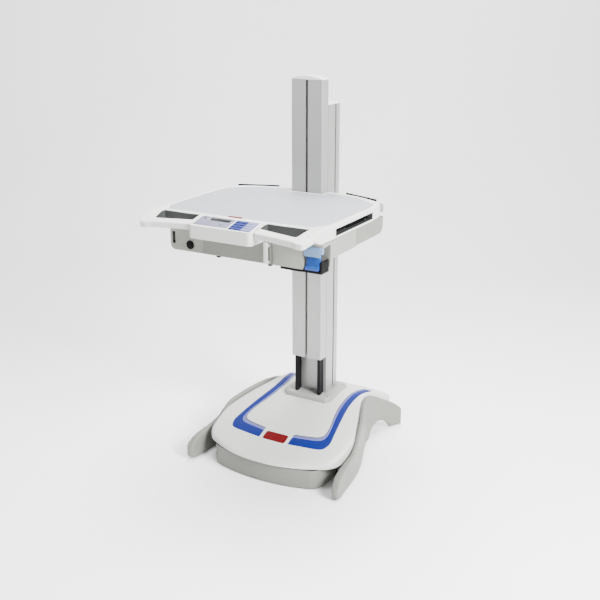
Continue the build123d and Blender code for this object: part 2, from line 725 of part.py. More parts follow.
def make_lever_bracket():
    """Clear moulded hanger with a front shield and two ears for the release lever."""
    plate = block((226, 276), (UNIT_FRONT - 3.5, UNIT_FRONT + 40), (828, 834))
    plate += block((226, 276), (UNIT_FRONT - 3.5, UNIT_FRONT), (806, 829))
    for x in ((226, 230), (272, 276)):
        plate += block(x, (UNIT_FRONT + 6, UNIT_FRONT + 20), (812, 829))
    return solid_of(plate - rod(2.5, (220, UNIT_FRONT + 13, 819), 60, "x"))


def make_lever():
    """Blue release paddle that hangs from its pin."""
    hub = rod(6, (231, UNIT_FRONT + 13, 819), 40, "x")
    paddle = side_prism([(UNIT_FRONT + 8, 822), (UNIT_FRONT + 18, 822), (UNIT_FRONT + 10, 772),
                         (UNIT_FRONT - 6, 768), (UNIT_FRONT - 8, 774), (UNIT_FRONT + 2, 780)], (231, 271))
    return solid_of(hub + paddle - rod(2.5 + RUN_FIT, (220, UNIT_FRONT + 13, 819), 60, "x"))


def make_lever_pin():
    return rod(2.5, (226, UNIT_FRONT + 13, 819), 50, "x")


# ---------------------------------------------------------------- build
def build_base():
    outer = cover_block(0, 0)
    save("base_chassis", make_chassis())
    save("base_cover", make_cover(outer))
    badge_x = (GRAPHICS_X - BADGE[0] / 2, GRAPHICS_X + BADGE[0] / 2)
    badge_hole = block(grown(badge_x, 9), (-340, -250), (60, 220))
    stripe = surface_layer(STRIPE_T, stripe_face()) - badge_hole
    save("base_stripe", *stripe.solids())
    badge = Pos(GRAPHICS_X, BADGE_Y) * RectangleRounded(*BADGE, 6)
    save("base_badge", solid_of(surface_layer(BADGE_T, badge)))
    save("front_skirt", make_skirt())
    rail = make_rail()
    save("side_rail_right", rail)
    save("side_rail_left", mirrored(rail))
    save("battery_pack", make_battery())
    save("power_module", make_power_module())
    save("rear_panel", make_rear_panel())
    save("power_inlet", make_power_inlet())


def build_casters():
    fx, fy = FRONT_CASTER
    rx, ry = REAR_CASTER
    places = {"front_left": (-fx, fy), "front_right": (fx, fy),
              "rear_left": (-rx, ry), "rear_right": (rx, ry)}
    for corner, (x, y) in places.items():
        at = Pos(x, y, 0)
        fork = make_fork()
        if corner.startswith("rear"):
            fork = add_pedal_pins(fork)
            save(f"brake_pedal_{corner}", at * make_pedal())
        save(f"caster_fork_{corner}", at * solid_of(fork))
        save(f"caster_wheels_{corner}", *[at * wheel for wheel in make_wheels()])
        save(f"caster_axle_{corner}", at * make_axle())


def build_mast():
    save("mast_foot", make_mast_foot())
    save("mast_foot_screws", *make_foot_screws())
    save("fixed_mast", make_fixed_mast())
    save("guide_rails", *make_guide_rails())
    save("fixed_mast_cap", make_fixed_cap())
    save("gas_spring_cylinder", make_spring_cylinder())
    save("gas_spring_rod", make_spring_rod())
    save("spring_arm", make_spring_arm())
    save("lift_column", *make_slider())
    save("lift_column_cap", make_slider_cap())
    save("guide_glides", *make_glides())


def build_worktop():
    save("worktop_frame", make_worktop_frame())
    save("worktop_mat", make_mat())
    save("rear_bumper_strips", *make_rear_strip())
    save("worktop_badge", make_top_badge())
    save("lift_bracket", make_lift_bracket())
    save("front_unit", make_front_unit())
    save("front_unit_strip", make_unit_strip())
    save("unit_bump_stops", *make_bump_stops())
    save("side_pod", make_pod())
    save("mouse_tray", make_mouse_tray())
    save("tray_runners", *make_runners())
    save("drawer_tray", make_drawer_tray())
    save("drawer_front", make_drawer_front())
    save("drawer_pull", make_drawer_pull())
    save("drawer_lock_bezel", make_lock_bezel())
    save("drawer_lock_cylinder", make_lock_cylinder())
    save("control_panel_housing", make_panel_housing())
    save("display_window", make_display())
    save("keypad", make_keypad())
    for number, (x, y) in enumerate(BUTTONS, 1):
        save(f"panel_button_{number}", make_button(x, y))
    save("lever_bracket", make_lever_bracket())
    save("release_lever", make_lever())
    save("release_lever_pin", make_lever_pin())


build_base()
build_casters()
build_mast()
build_worktop()
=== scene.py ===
import json
import math

import bmesh
import bpy
import numpy as np
from mathutils import Matrix, Vector


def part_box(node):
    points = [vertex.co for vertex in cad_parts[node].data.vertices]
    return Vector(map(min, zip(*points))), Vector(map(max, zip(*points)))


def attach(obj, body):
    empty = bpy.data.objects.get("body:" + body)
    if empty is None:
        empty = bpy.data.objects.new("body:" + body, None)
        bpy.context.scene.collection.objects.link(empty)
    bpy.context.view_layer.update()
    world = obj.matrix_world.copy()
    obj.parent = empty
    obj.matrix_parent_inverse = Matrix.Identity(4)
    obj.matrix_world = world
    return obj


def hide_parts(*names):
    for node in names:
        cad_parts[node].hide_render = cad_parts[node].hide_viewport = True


# Looks of the medication cart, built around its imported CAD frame. Metres, +Z up, -Y is the side
# the nurse stands at. Shapes are laid out in millimetres about the mast's centre line, as in the
# CAD, and moved by MAST_Y.

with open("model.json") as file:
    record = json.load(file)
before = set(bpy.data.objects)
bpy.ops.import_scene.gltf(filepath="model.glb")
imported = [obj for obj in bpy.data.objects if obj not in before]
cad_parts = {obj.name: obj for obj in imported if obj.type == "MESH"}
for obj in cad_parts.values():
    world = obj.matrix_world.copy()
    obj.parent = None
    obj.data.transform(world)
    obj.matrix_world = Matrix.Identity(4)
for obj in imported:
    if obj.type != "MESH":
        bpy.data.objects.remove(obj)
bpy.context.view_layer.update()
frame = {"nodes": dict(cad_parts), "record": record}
NODES = frame["nodes"]
MM = 0.001
MAST_Y = sum(corner.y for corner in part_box("fixed_mast")) / 2


# ---------------------------------------------------------------- meshes
def mesh_object(name, verts, faces, smooth=40):
    mesh = bpy.data.meshes.new(name)
    mesh.from_pydata([tuple(v) for v in verts], [], [tuple(f) for f in faces])
    mesh.validate()
    obj = bpy.data.objects.new(name, mesh)
    bpy.context.scene.collection.objects.link(obj)
    shade(obj, smooth)
    return obj


def shade(obj, angle=40):
    """Smooth shading with sharp edges where the surface turns by more than an angle."""
    obj.data.shade_smooth()
    obj.data.set_sharp_from_angle(angle=math.radians(angle))


def baked(obj, angle=40):
    """Apply an object's modifiers to its mesh."""
    graph = bpy.context.evaluated_depsgraph_get()
    mesh = bpy.data.meshes.new_from_object(obj.evaluated_get(graph))
    obj.modifiers.clear()
    obj.data = mesh
    shade(obj, angle)
    return obj


def welded(node):
    """Clean bmesh of a CAD node, with its flat faces joined."""
    bm = bmesh.new()
    source = NODES[node].data
    for v in source.vertices:
        bm.verts.new(v.co)
    bm.verts.ensure_lookup_table()
    for p in source.polygons:
        corners = [bm.verts[i] for i in p.vertices]
        if not bm.faces.get(corners):
            bm.faces.new(corners)
    bmesh.ops.remove_doubles(bm, verts=bm.verts[:], dist=1e-5)
    bmesh.ops.dissolve_limit(bm, angle_limit=math.radians(1.0), verts=bm.verts[:], edges=bm.edges[:])
    return bm


def edge_turn(edge):
    return edge.calc_face_angle(0.0) if len(edge.link_faces) == 2 else 0.0


def moulded(node, width, segments=3, turn=28):
    """A CAD node's shape with rounded edges, as it leaves the mould."""
    bm = welded(node)
    sharp = [e for e in bm.edges if edge_turn(e) > math.radians(turn)]
    bmesh.ops.bevel(bm, geom=sharp, offset=width * MM, offset_type="OFFSET", segments=segments,
                    profile=0.5, affect="EDGES", clamp_overlap=True)
    bmesh.ops.remove_doubles(bm, verts=bm.verts[:], dist=2e-6)
    mesh = bpy.data.meshes.new(node + "_moulded")
    bm.to_mesh(mesh)
    bm.free()
    obj = bpy.data.objects.new(node + "_moulded", mesh)
    bpy.context.scene.collection.objects.link(obj)
    shade(obj)
    return obj


def softened(node, voxel, rounds):
    """A CAD node's shape melted into one smooth skin with generous radii."""
    bm = welded(node)
    mesh = bpy.data.meshes.new(node + "_moulded")
    bm.to_mesh(mesh)
    bm.free()
    obj = bpy.data.objects.new(node + "_moulded", mesh)
    bpy.context.scene.collection.objects.link(obj)
    remesh = obj.modifiers.new("skin", "REMESH")
    remesh.mode = "VOXEL"
    remesh.voxel_size = voxel * MM
    smooth = obj.modifiers.new("soften", "SMOOTH")
    smooth.factor = 0.5
    smooth.iterations = rounds
    return baked(obj, 180)


def curve_points(points, count):
    """Points evenly along a smooth curve through the given (x, y) points."""
    pts = np.array(points, float)
    ends = np.vstack([2 * pts[0] - pts[1], pts, 2 * pts[-1] - pts[-2]])
    fine = []
    for i in range(1, len(ends) - 2):
        a, b, c, d = ends[i - 1:i + 3]
        for t in np.linspace(0, 1, 24, endpoint=False):
            fine.append(0.5 * (2 * b + (c - a) * t + (2 * a - 5 * b + 4 * c - d) * t ** 2
                               + (3 * b - a - 3 * c + d) * t ** 3))
    fine.append(pts[-1])
    return resampled(fine, count)


def resampled(points, count):
    """Points evenly spaced along a polyline."""
    pts = np.array(points, float)
    run = np.concatenate([[0], np.cumsum(np.linalg.norm(np.diff(pts, axis=0), axis=1))])
    at = np.linspace(0, run[-1], count)
    return np.column_stack([np.interp(at, run, pts[:, k]) for k in range(pts.shape[1])])


def arc_points(p0, p1, p2, count):
    """Points on the circle arc that starts at p0, passes p1 and ends at p2."""
    centre, radius = circle_through(p0, p1, p2)
    angle = [math.atan2(p[1] - centre[1], p[0] - centre[0]) for p in (p0, p1, p2)]
    whole = 2 * math.pi
    forward = (angle[2] - angle[0]) % whole
    if (angle[1] - angle[0]) % whole > forward:
        forward -= whole
    turns = [angle[0] + forward * k / (count - 1) for k in range(count)]
    return [(centre[0] + radius * math.cos(t), centre[1] + radius * math.sin(t)) for t in turns]


def circle_through(p0, p1, p2):
    matrix = np.array([[p1[0] - p0[0], p1[1] - p0[1]], [p2[0] - p0[0], p2[1] - p0[1]]]) * 2
    right = [p[0] ** 2 - p0[0] ** 2 + p[1] ** 2 - p0[1] ** 2 for p in (p1, p2)]
    centre = np.linalg.solve(matrix, right)
    return centre, math.hypot(p0[0] - centre[0], p0[1] - centre[1])


def rounded(points, radii, steps=7):
    """Closed outline with its corners rounded."""
    out = []
    count = len(points)
    for i, (x, y) in enumerate(points):
        here = Vector((x, y))
        before = Vector(points[i - 1]) - here
        after = Vector(points[(i + 1) % count]) - here
        radius = radii[i] if isinstance(radii, (list, tuple)) else radii
        if radius <= 0:
            out.append((x, y))
            continue
        half = before.angle(after) / 2
        reach = min(radius / math.tan(half), before.length * 0.49, after.length * 0.49)
        a = here + before.normalized() * reach
        b = here + after.normalized() * reach
        for k in range(steps + 1):
            t = k / steps
            out.append(tuple((1 - t) ** 2 * a + 2 * t * (1 - t) * here + t ** 2 * b))
    return out


def slab(name, loops, low, high, bevel, segments=3, place=None):
    """Flat plate cut from closed outlines (the first is the outside), with rounded edges."""
    curve = bpy.data.curves.new(name, "CURVE")
    curve.dimensions = "2D"
    curve.fill_mode = "BOTH"
    curve.bevel_depth = bevel * MM
    curve.bevel_resolution = segments
    curve.offset = -bevel * MM
    curve.extrude = ((high - low) / 2 - bevel) * MM
    for loop in loops:
        spline = curve.splines.new("POLY")
        spline.points.add(len(loop) - 1)
        for point, (x, y) in zip(spline.points, loop):
            point.co = (x * MM, y * MM, 0, 1)
        spline.use_cyclic_u = True
    flat = bpy.data.objects.new(name + "_outline", curve)
    bpy.context.scene.collection.objects.link(flat)
    graph = bpy.context.evaluated_depsgraph_get()
    mesh = bpy.data.meshes.new_from_object(flat.evaluated_get(graph))
    mesh.name = name
    bpy.data.objects.remove(flat)
    bpy.data.curves.remove(curve)
    obj = bpy.data.objects.new(name, mesh)
    bpy.context.scene.collection.objects.link(obj)
    bm = bmesh.new()
    bm.from_mesh(mesh)
    bmesh.ops.remove_doubles(bm, verts=bm.verts[:], dist=1e-6)
    bmesh.ops.recalc_face_normals(bm, faces=bm.faces[:])
    bm.to_mesh(mesh)
    bm.free()
    if place is None:
        place = Matrix.Translation((0, MAST_Y, (low + high) / 2 * MM))
    mesh.transform(place)
    shade(obj)
    return obj


def sliced(obj, normal, points):
    """Cut the faces of a mesh along parallel planes, so that it can be bent there."""
    bm = bmesh.new()
    bm.from_mesh(obj.data)
    for point in points:
        bmesh.ops.bisect_plane(bm, geom=bm.verts[:] + bm.edges[:] + bm.faces[:], dist=1e-6,
                               plane_co=point, plane_no=normal)
    bm.to_mesh(obj.data)
    bm.free()


def box_object(name, low, high):
    """Closed box between two corners in millimetres, used as a cutter."""
    corners = [((low, high)[i & 1][0], (low, high)[i >> 1 & 1][1], (low, high)[i >> 2 & 1][2])
               for i in range(8)]
    verts = [(x * MM, y * MM + MAST_Y, z * MM) for x, y, z in corners]
    faces = [(0, 2, 3, 1), (4, 5, 7, 6), (0, 1, 5, 4), (2, 6, 7, 3), (0, 4, 6, 2), (1, 3, 7, 5)]
    return mesh_object(name, verts, faces, 30)


def cut(obj, low, high):
    """Take a box out of a piece."""
    tool = box_object("cutter", low, high)
    boolean = obj.modifiers.new("cut", "BOOLEAN")
    boolean.operation = "DIFFERENCE"
    boolean.solver = "EXACT"
    boolean.object = tool
    baked(obj)
    bpy.data.objects.remove(tool)
    return obj


# ---------------------------------------------------------------- materials
class Finish:
    """A procedural material under construction."""

    def __init__(self, name):
        self.material = bpy.data.materials.new(name)
        self.material.use_nodes = True
        self.tree = self.material.node_tree
        self.shader = self.tree.nodes["Principled BSDF"]
        self.place = self.add("ShaderNodeTexCoord").outputs["Object"]

    def add(self, kind, **settings):
        node = self.tree.nodes.new(kind)
        for key, value in settings.items():
            setattr(node, key, value)
        return node

    def link(self, a, b):
        self.tree.links.new(a, b)

    def noise(self, scale, detail=3.0, rough=0.5, stretch=(1, 1, 1)):
        mapping = self.add("ShaderNodeMapping")
        mapping.inputs["Scale"].default_value = stretch
        self.link(self.place, mapping.inputs["Vector"])
        node = self.add("ShaderNodeTexNoise")
        node.inputs["Scale"].default_value = scale
        node.inputs["Detail"].default_value = detail
        node.inputs["Roughness"].default_value = rough
        self.link(mapping.outputs["Vector"], node.inputs["Vector"])
        return node.outputs["Fac"]

    def span(self, source, low, high, start=0.3, end=0.7):
        node = self.add("ShaderNodeMapRange")
        node.inputs["From Min"].default_value = start
        node.inputs["From Max"].default_value = end
        node.inputs["To Min"].default_value = low
        node.inputs["To Max"].default_value = high
        self.link(source, node.inputs["Value"])
        return node.outputs["Result"]

    def mix(self, factor, a, b):
        node = self.add("ShaderNodeMix", data_type="RGBA")
        self.link(factor, node.inputs["Factor"])
        for socket, value in ((node.inputs[6], a), (node.inputs[7], b)):
            if isinstance(value, tuple):
                socket.default_value = (*value, 1)
            else:
                self.link(value, socket)
        return node.outputs[2]

    def edges(self, low=0.53, high=0.62):
        """Mask that is 1 on convex edges, where hands and trolleys rub."""
        geometry = self.add("ShaderNodeNewGeometry")
        return self.span(geometry.outputs["Pointiness"], 0, 1, low, high)

    def bump(self, height, strength, distance):
        node = self.add("ShaderNodeBump")
        node.inputs["Strength"].default_value = strength
        node.inputs["Distance"].default_value = distance
        self.link(height, node.inputs["Height"])
        self.link(node.outputs["Normal"], self.shader.inputs["Normal"])

    def color(self, source):
        self.link(source, self.shader.inputs["Base Color"])

    def rough(self, source):
        self.link(source, self.shader.inputs["Roughness"])

    def set(self, **values):
        for key, value in values.items():
            self.shader.inputs[key.replace("_", " ")].default_value = value


def shifted(color, factor):
    return tuple(min(c * factor, 1.0) for c in color)


def plastic(name, color, rough=0.42, grain=900, bump=0.06, wear=1.12, blotch=0.035, gloss=0.3):
    """Moulded plastic: fine spark-eroded grain, faint cloudiness, slightly polished edges."""
    f = Finish(name)
    cloud = f.span(f.noise(6, 4), 0, 1)
    base = f.mix(cloud, shifted(color, 1 - blotch), shifted(color, 1 + blotch))
    dust = f.span(f.noise(55, 5, 0.6), 0, 0.35, 0.52, 0.75)
    base = f.mix(dust, base, shifted(color, 0.93))
    f.color(f.mix(f.span(f.edges(), 0, 0.6, 0, 1), base, shifted(color, wear)))
    f.rough(f.span(f.noise(40, 4), rough - 0.06, rough + 0.08))
    f.bump(f.noise(grain, 2, 0.6), bump, 0.0004)
    f.set(Specular_IOR_Level=gloss)
    return f.material


def aluminium(name, color, rough=0.36):
    """Anodised extrusion: long draw lines up the profile and a satin sheen."""
    f = Finish(name)
    lines = f.noise(240, 3, 0.6, (1, 1, 0.012))
    broad = f.noise(22, 2, 0.5, (1, 1, 0.05))
    base = f.mix(f.span(lines, 0, 1), shifted(color, 0.955), shifted(color, 1.03))
    base = f.mix(f.span(broad, 0, 0.5), base, shifted(color, 0.94))
    f.color(f.mix(f.span(f.edges(0.52, 0.6), 0, 0.5, 0, 1), base, shifted(color, 1.15)))
    f.rough(f.span(lines, rough - 0.07, rough + 0.08))
    f.bump(lines, 0.08, 0.0002)
    f.set(Metallic=0.45)
    return f.material


def steel(name, color, rough=0.3):
    """Plated steel with fine scratches."""
    f = Finish(name)
    scratch = f.noise(420, 3, 0.7, (1, 0.08, 1))
    f.color(f.mix(f.span(scratch, 0, 1), shifted(color, 0.82), shifted(color, 1.1)))
    f.rough(f.span(scratch, rough - 0.08, rough + 0.14))
    f.bump(scratch, 0.1, 0.0002)
    f.set(Metallic=0.9)
    return f.material


def paint(name, color, rough=0.5):
    """Powder coat: orange peel and bare-looking worn edges."""
    f = Finish(name)
    peel = f.noise(380, 2, 0.5)
    base = f.mix(f.span(f.noise(9, 3), 0, 1), shifted(color, 0.85), shifted(color, 1.15))
    f.color(f.mix(f.span(f.edges(), 0, 0.7, 0, 1), base, shifted(color, 1.7)))
    f.rough(f.span(peel, rough - 0.08, rough + 0.1))
    f.bump(peel, 0.2, 0.0004)
    return f.material


def rubber(name, color, rough=0.75, grain=320):
    """Matt rubber: speckled, with pale scuffs."""
    f = Finish(name)
    speck = f.noise(grain, 5, 0.7)
    base = f.mix(f.span(speck, 0, 1), shifted(color, 0.7), shifted(color, 1.4))
    scuff = f.span(f.noise(30, 6, 0.7, (1, 1, 3)), 0, 0.5, 0.55, 0.75)
    f.color(f.mix(scuff, base, shifted(color, 2.2)))
    f.rough(f.span(f.noise(60, 3), rough - 0.1, rough + 0.1))
    f.bump(speck, 0.25, 0.0004)
    f.set(Specular_IOR_Level=0.12)
    return f.material


def clear(name, color):
    """Translucent moulding with faint flow lines."""
    f = Finish(name)
    flow = f.noise(45, 3)
    f.color(f.mix(f.span(flow, 0, 1), shifted(color, 0.96), shifted(color, 1.03)))
    f.rough(f.span(flow, 0.14, 0.28))
    f.bump(flow, 0.05, 0.0006)
    f.set(Transmission_Weight=0.35, IOR=1.46)
    return f.material


def glass(name, color):
    """Dark display window with a faint cell grid behind it."""
    f = Finish(name)
    grid = f.noise(140, 1, 0.4, (1, 2.2, 1))
    f.color(f.mix(f.span(grid, 0, 1), shifted(color, 0.6), shifted(color, 1.8)))
    f.rough(f.span(f.noise(25, 3), 0.16, 0.26))
    f.bump(grid, 0.02, 0.0002)
    f.set(Specular_IOR_Level=0.15)
    return f.material


FINISHES = {
    "shell_white": plastic("shell_white", (0.56, 0.56, 0.545), rough=0.40),
    "shell_grey": plastic("shell_grey", (0.165, 0.166, 0.150), rough=0.48, bump=0.09),
    "worktop_grey": plastic("worktop_grey", (0.29, 0.298, 0.325), rough=0.5, grain=1500, bump=0.03,
                            blotch=0.02),
    "mast_aluminium": aluminium("mast_aluminium", (0.31, 0.31, 0.305)),
    "stripe_blue": plastic("stripe_blue", (0.005, 0.014, 0.14), rough=0.45, bump=0.02, wear=1.3,
                           blotch=0.07, gloss=0.12),
    "stripe_line": plastic("stripe_line", (0.12, 0.125, 0.33), rough=0.45, bump=0.02, blotch=0.05,
                           gloss=0.15),
    "badge_red": plastic("badge_red", (0.11, 0.001, 0.003), rough=0.4, bump=0.02, wear=1.3, blotch=0.07,
                         gloss=0.12),
    "lever_blue": plastic("lever_blue", (0.009, 0.048, 0.21), rough=0.35, bump=0.03, wear=1.5, blotch=0.10,
                          gloss=0.2),
    "clear_plastic": clear("clear_plastic", (0.16, 0.28, 0.46)),
    "black_rubber": rubber("black_rubber", (0.004, 0.004, 0.0042)),
    "black_plastic": plastic("black_plastic", (0.004, 0.004, 0.0045), rough=0.55, bump=0.10, wear=2.2,
                             blotch=0.12, gloss=0.08),
    "wheel_tread": rubber("wheel_tread", (0.045, 0.045, 0.05)),
    "pedal_grey": plastic("pedal_grey", (0.030, 0.032, 0.032), rough=0.6, bump=0.10, wear=1.4, blotch=0.08),
    "steel": steel("steel", (0.50, 0.50, 0.51)),
    "painted_steel": paint("painted_steel", (0.035, 0.038, 0.042)),
    "display_glass": glass("display_glass", (0.004, 0.006, 0.006)),
    "keypad_silicone": rubber("keypad_silicone", (0.03, 0.04, 0.16), rough=0.55, grain=500),
    "keypad_keys": plastic("keypad_keys", (0.014, 0.022, 0.13), rough=0.5, bump=0.04, blotch=0.08,
                           gloss=0.12),
    "membrane": plastic("membrane", (0.14, 0.14, 0.20), rough=0.6, bump=0.03, blotch=0.04, gloss=0.15),
    # Lighter copy of shell_grey for the front unit, as painted light. The drawer front keeps the darker
    # shell_grey as painted shade under the panel.
    "unit_grey_painted_lit": plastic("unit_grey_painted_lit", (0.23, 0.232, 0.208), rough=0.48, bump=0.09),
    "collar": plastic("collar", (0.29, 0.29, 0.275), rough=0.48, bump=0.08),
    "roller_grey": rubber("roller_grey", (0.20, 0.20, 0.20), rough=0.6),
    "keypad_lilac": plastic("keypad_lilac", (0.15, 0.155, 0.29), rough=0.6, bump=0.04, blotch=0.05),
    "button_grey": plastic("button_grey", (0.05, 0.055, 0.06), rough=0.4, bump=0.04, wear=1.5, blotch=0.08),
}
SLOT_OF = {row["node"]: row["material_slot"] for row in frame["record"]["subparts"]}
BODY_OF = {node: body for body, nodes in frame["record"]["behaviour"]["bodies"].items() for node in nodes}


def finish(obj, slot, look=None):
    """Give a piece one material: its look if one is given, else the finish of its slot."""
    obj.data.materials.clear()
    obj.data.materials.append(FINISHES[look or slot])
    return obj


def stand_in(obj, node, look=None):
    """Let a piece stand for a CAD node: it takes the finish of the node's slot, joins the node's body, and
    the node is hidden.
    """
    finish(obj, SLOT_OF[node], look)
    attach(obj, BODY_OF[node])
    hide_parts(node)
    return obj


# ---------------------------------------------------------------- base cover
LIP = -404
COVER_LOW = 70
ARC_FRONT = ((LIP, 72), (-170, 147), (10, 175))
ARC_BACK = ((10, 175), (105, 160), (178, 126))
CROWN = 11                     # how much lower the cover is at its sides than down the middle
SIDE_PATH = [(275, -300), (266, -230), (253, -170), (226, -92), (196, -8), (187, 45), (193, 100),
             (212, 155), (238, 200)]
SIDE_GAP = 15.5                # from a rail's outer face to the cover
HEEL = (242, -285)
COVER_BACK = 166
EDGE_ROLL = 11


def arc_height(y, arc):
    (cy, cz), radius = circle_through(*arc)
    return cz + np.sqrt(np.maximum(radius ** 2 - (y - cy) ** 2, 0))


def cover_height(x, y):
    """Height of the crowned cover, in millimetres, away from its rounded edge."""
    x, y = np.asarray(x, float), np.asarray(y, float)
    z = np.where(y < 10, arc_height(y, ARC_FRONT), arc_height(y, ARC_BACK))
    side = np.maximum(np.abs(x) - 85, 0) / 155
    return z - CROWN * side ** 2


def cover_front():
    """Right half of the front outline, from the middle to the heel of the corner."""
    bow = arc_points((0, LIP + 2), (100, -391), (190, -354), 26)
    corner = arc_points((190, -354), (225, -330), HEEL, 16)
    return np.array(bow[:-1] + corner)


def cover_side(count):
    side = curve_points([(x - SIDE_GAP, y) for x, y in SIDE_PATH], 400)
    keep = side[(side[:, 1] > -215) & (side[:, 1] < COVER_BACK)]
    path = np.vstack([HEEL, (248, -215), keep, (np.interp(COVER_BACK, side[:, 1], side[:, 0]), COVER_BACK)])
    return resampled(path, count)


def cover_grid(rows):
    """Plan grid of the cover: rows bow like the front and straighten towards the back."""
    front = cover_front()
    depth = HEEL[1] - (LIP + 2)
    bow = np.column_stack([front[:, 0] / HEEL[0], (HEEL[1] - front[:, 1]) / depth])
    grid = []
    for x_side, y_side in cover_side(rows):
        share = (y_side - HEEL[1]) / (COVER_BACK - HEEL[1])
        middle = LIP + 2 + share * (COVER_BACK - LIP - 2)
        half = np.column_stack([bow[:, 0] * x_side, y_side - bow[:, 1] * (y_side - middle)])
        mirror = half[:0:-1] * [-1, 1]
        grid.append(np.vstack([mirror, half]))
    return np.array(grid)


def spread(values, near):
    """Extra stations close to the first and last value, for a rounded edge."""
    first = values[0] + (values[1] - values[0]) * np.array(near)
    last = values[-1] + (values[-2] - values[-1]) * np.array(near)
    return np.concatenate([[values[0]], first, values[1:-1], last[::-1], [values[-1]]])


def densified(grid):
    """Add rows and columns next to the outline of a grid."""
    near = (0.06, 0.16, 0.32, 0.6)
    rows = spread(np.arange(grid.shape[0], dtype=float), near)
    columns = spread(np.arange(grid.shape[1], dtype=float), near)
    by_row = np.array([grid[int(r)] * (1 - r % 1) + grid[min(int(r) + 1, len(grid) - 1)] * (r % 1)
                       for r in rows])
    out = []
    for row in by_row:
        out.append([row[int(c)] * (1 - c % 1) + row[min(int(c) + 1, len(row) - 1)] * (c % 1)
                    for c in columns])
    return np.array(out)


def distance_to(points, outline):
    """Shortest distance from each point to a closed outline."""
    a = outline
    b = np.roll(outline, -1, axis=0)
    step = b - a
    length = np.maximum((step ** 2).sum(1), 1e-9)
    best = np.full(len(points), 1e9)
    for start, vector, square in zip(a, step, length):
        t = np.clip(((points - start) @ vector) / square, 0, 1)
        gap = points - start - t[:, None] * vector
        best = np.minimum(best, np.sqrt((gap ** 2).sum(1)))
    return best


def build_cover():
    grid = densified(cover_grid(44))
    rows, columns = grid.shape[:2]
    flat = grid.reshape(-1, 2)
    border = np.vstack([grid[0], grid[1:, -1], grid[-1, ::-1][1:], grid[::-1, 0][1:-1]])
    inside = np.clip(distance_to(flat, border) / EDGE_ROLL, 0, 1)
    fall = EDGE_ROLL * (1 - np.sqrt(1 - (1 - inside) ** 2)) * 0.85
    height = np.maximum(cover_height(flat[:, 0], flat[:, 1]) - fall, COVER_LOW + 1.5)
    verts = [(x * MM, y * MM + MAST_Y, z * MM) for (x, y), z in zip(flat, height)]
    faces = []
    for r in range(rows - 1):
        for c in range(columns - 1):
            corner = [r * columns + c, r * columns + c + 1, (r + 1) * columns + c + 1,
                      (r + 1) * columns + c]
            middle = flat[corner].mean(0)
            if abs(middle[0]) < 62 and -76 < middle[1] < 46:
                continue
            faces.append(corner)
    index = np.arange(rows * columns).reshape(rows, columns)
    rim = np.concatenate([index[0], index[1:, -1], index[-1, ::-1][1:], index[::-1, 0][1:-1]])
    for drop in (0.45, 1.0):
        base = len(verts)
        for i in rim:
            x, y, z = verts[i]
            verts.append((x, y, z + (COVER_LOW * MM - z) * drop))
        above = rim if drop < 1 else np.arange(base - len(rim), base)
        for k in range(len(rim)):
            n = (k + 1) % len(rim)
            faces.append((above[k], base + k, base + n, above[n]))
    obj = mesh_object("base_cover_shell", verts, faces, 50)
    shell = obj.modifiers.new("wall", "SOLIDIFY")
    shell.thickness = 2.5 * MM
    shell.offset = -1
    baked(obj, 50)
    cut(obj, (-150, 150, 60), (150, 200, 116))
    return stand_in(obj, "base_cover")


# ---------------------------------------------------------------- stripe and badge
STRIPE_OUTER = [(54, -313), (100, -309), (150, -302), (172, -292), (182, -266), (178, -230), (168, -170),
                (158, -110), (152, -60), (151, -10), (156, 40), (164, 84)]
GRAPHICS_X = 6                 # the stripe and badge sit a little right of the middle
STRIPE_INNER = [(54, -268), (100, -261), (132, -253), (147, -240), (149, -218), (143, -180), (134, -145),
                (125, -100), (121, -60), (120, -10), (126, 40), (134, 84)]


def ribbon(name, share, rise, side):
    """Strip of the stripe between two shares of its width, laid on the cover."""
    outer = curve_points(STRIPE_OUTER, 110)
    inner = curve_points(STRIPE_INNER, 110)
    across = np.linspace(share[0], share[1], 7)
    lift = rise * np.array([0.0, 0.8, 1.0, 1.0, 1.0, 0.8, 0.0])
    verts, faces = [], []
    for a, b in zip(outer, inner):
        for s, up in zip(across, lift):
            x, y = (a + (b - a) * s) * (side, 1) + (GRAPHICS_X, 0)
            verts.append((x * MM, y * MM + MAST_Y, (float(cover_height(x, y)) + up + 0.05) * MM))
    width = len(across)
    for r in range(len(outer) - 1):
        for c in range(width - 1):
            quad = (r * width + c, r * width + c + 1, (r + 1) * width + c + 1, (r + 1) * width + c)
            faces.append(quad if side < 0 else quad[::-1])
    obj = mesh_object(name, verts, faces, 60)
    wall = obj.modifiers.new("wall", "SOLIDIFY")
    wall.thickness = 0.6 * MM
    wall.offset = -1
    return baked(obj, 60)


def joined(name, objects):
    """Join meshes into one object."""
    bm = bmesh.new()
    for obj in objects:
        bm.from_mesh(obj.data)
    mesh = bpy.data.meshes.new(name)
    bm.to_mesh(mesh)
    bm.free()
    for obj in objects:
        bpy.data.objects.remove(obj)
    out = bpy.data.objects.new(name, mesh)
    bpy.context.scene.collection.objects.link(out)
    shade(out, 50)
    return out


def build_stripe():
    for name, share, rise, look in (("base_stripe_band", (0.0, 0.64), 0.9, "stripe_blue"),
                                    ("base_stripe_groove", (0.64, 0.70), 0.3, "stripe_blue"),
                                    ("base_stripe_line", (0.70, 0.92), 0.8, "stripe_line"),
                                    ("base_stripe_edge", (0.92, 1.0), 0.7, "button_grey")):
        halves = [ribbon(name + "_half", share, rise, side) for side in (-1, 1)]
        stand_in(joined(name, halves), "base_stripe", look)


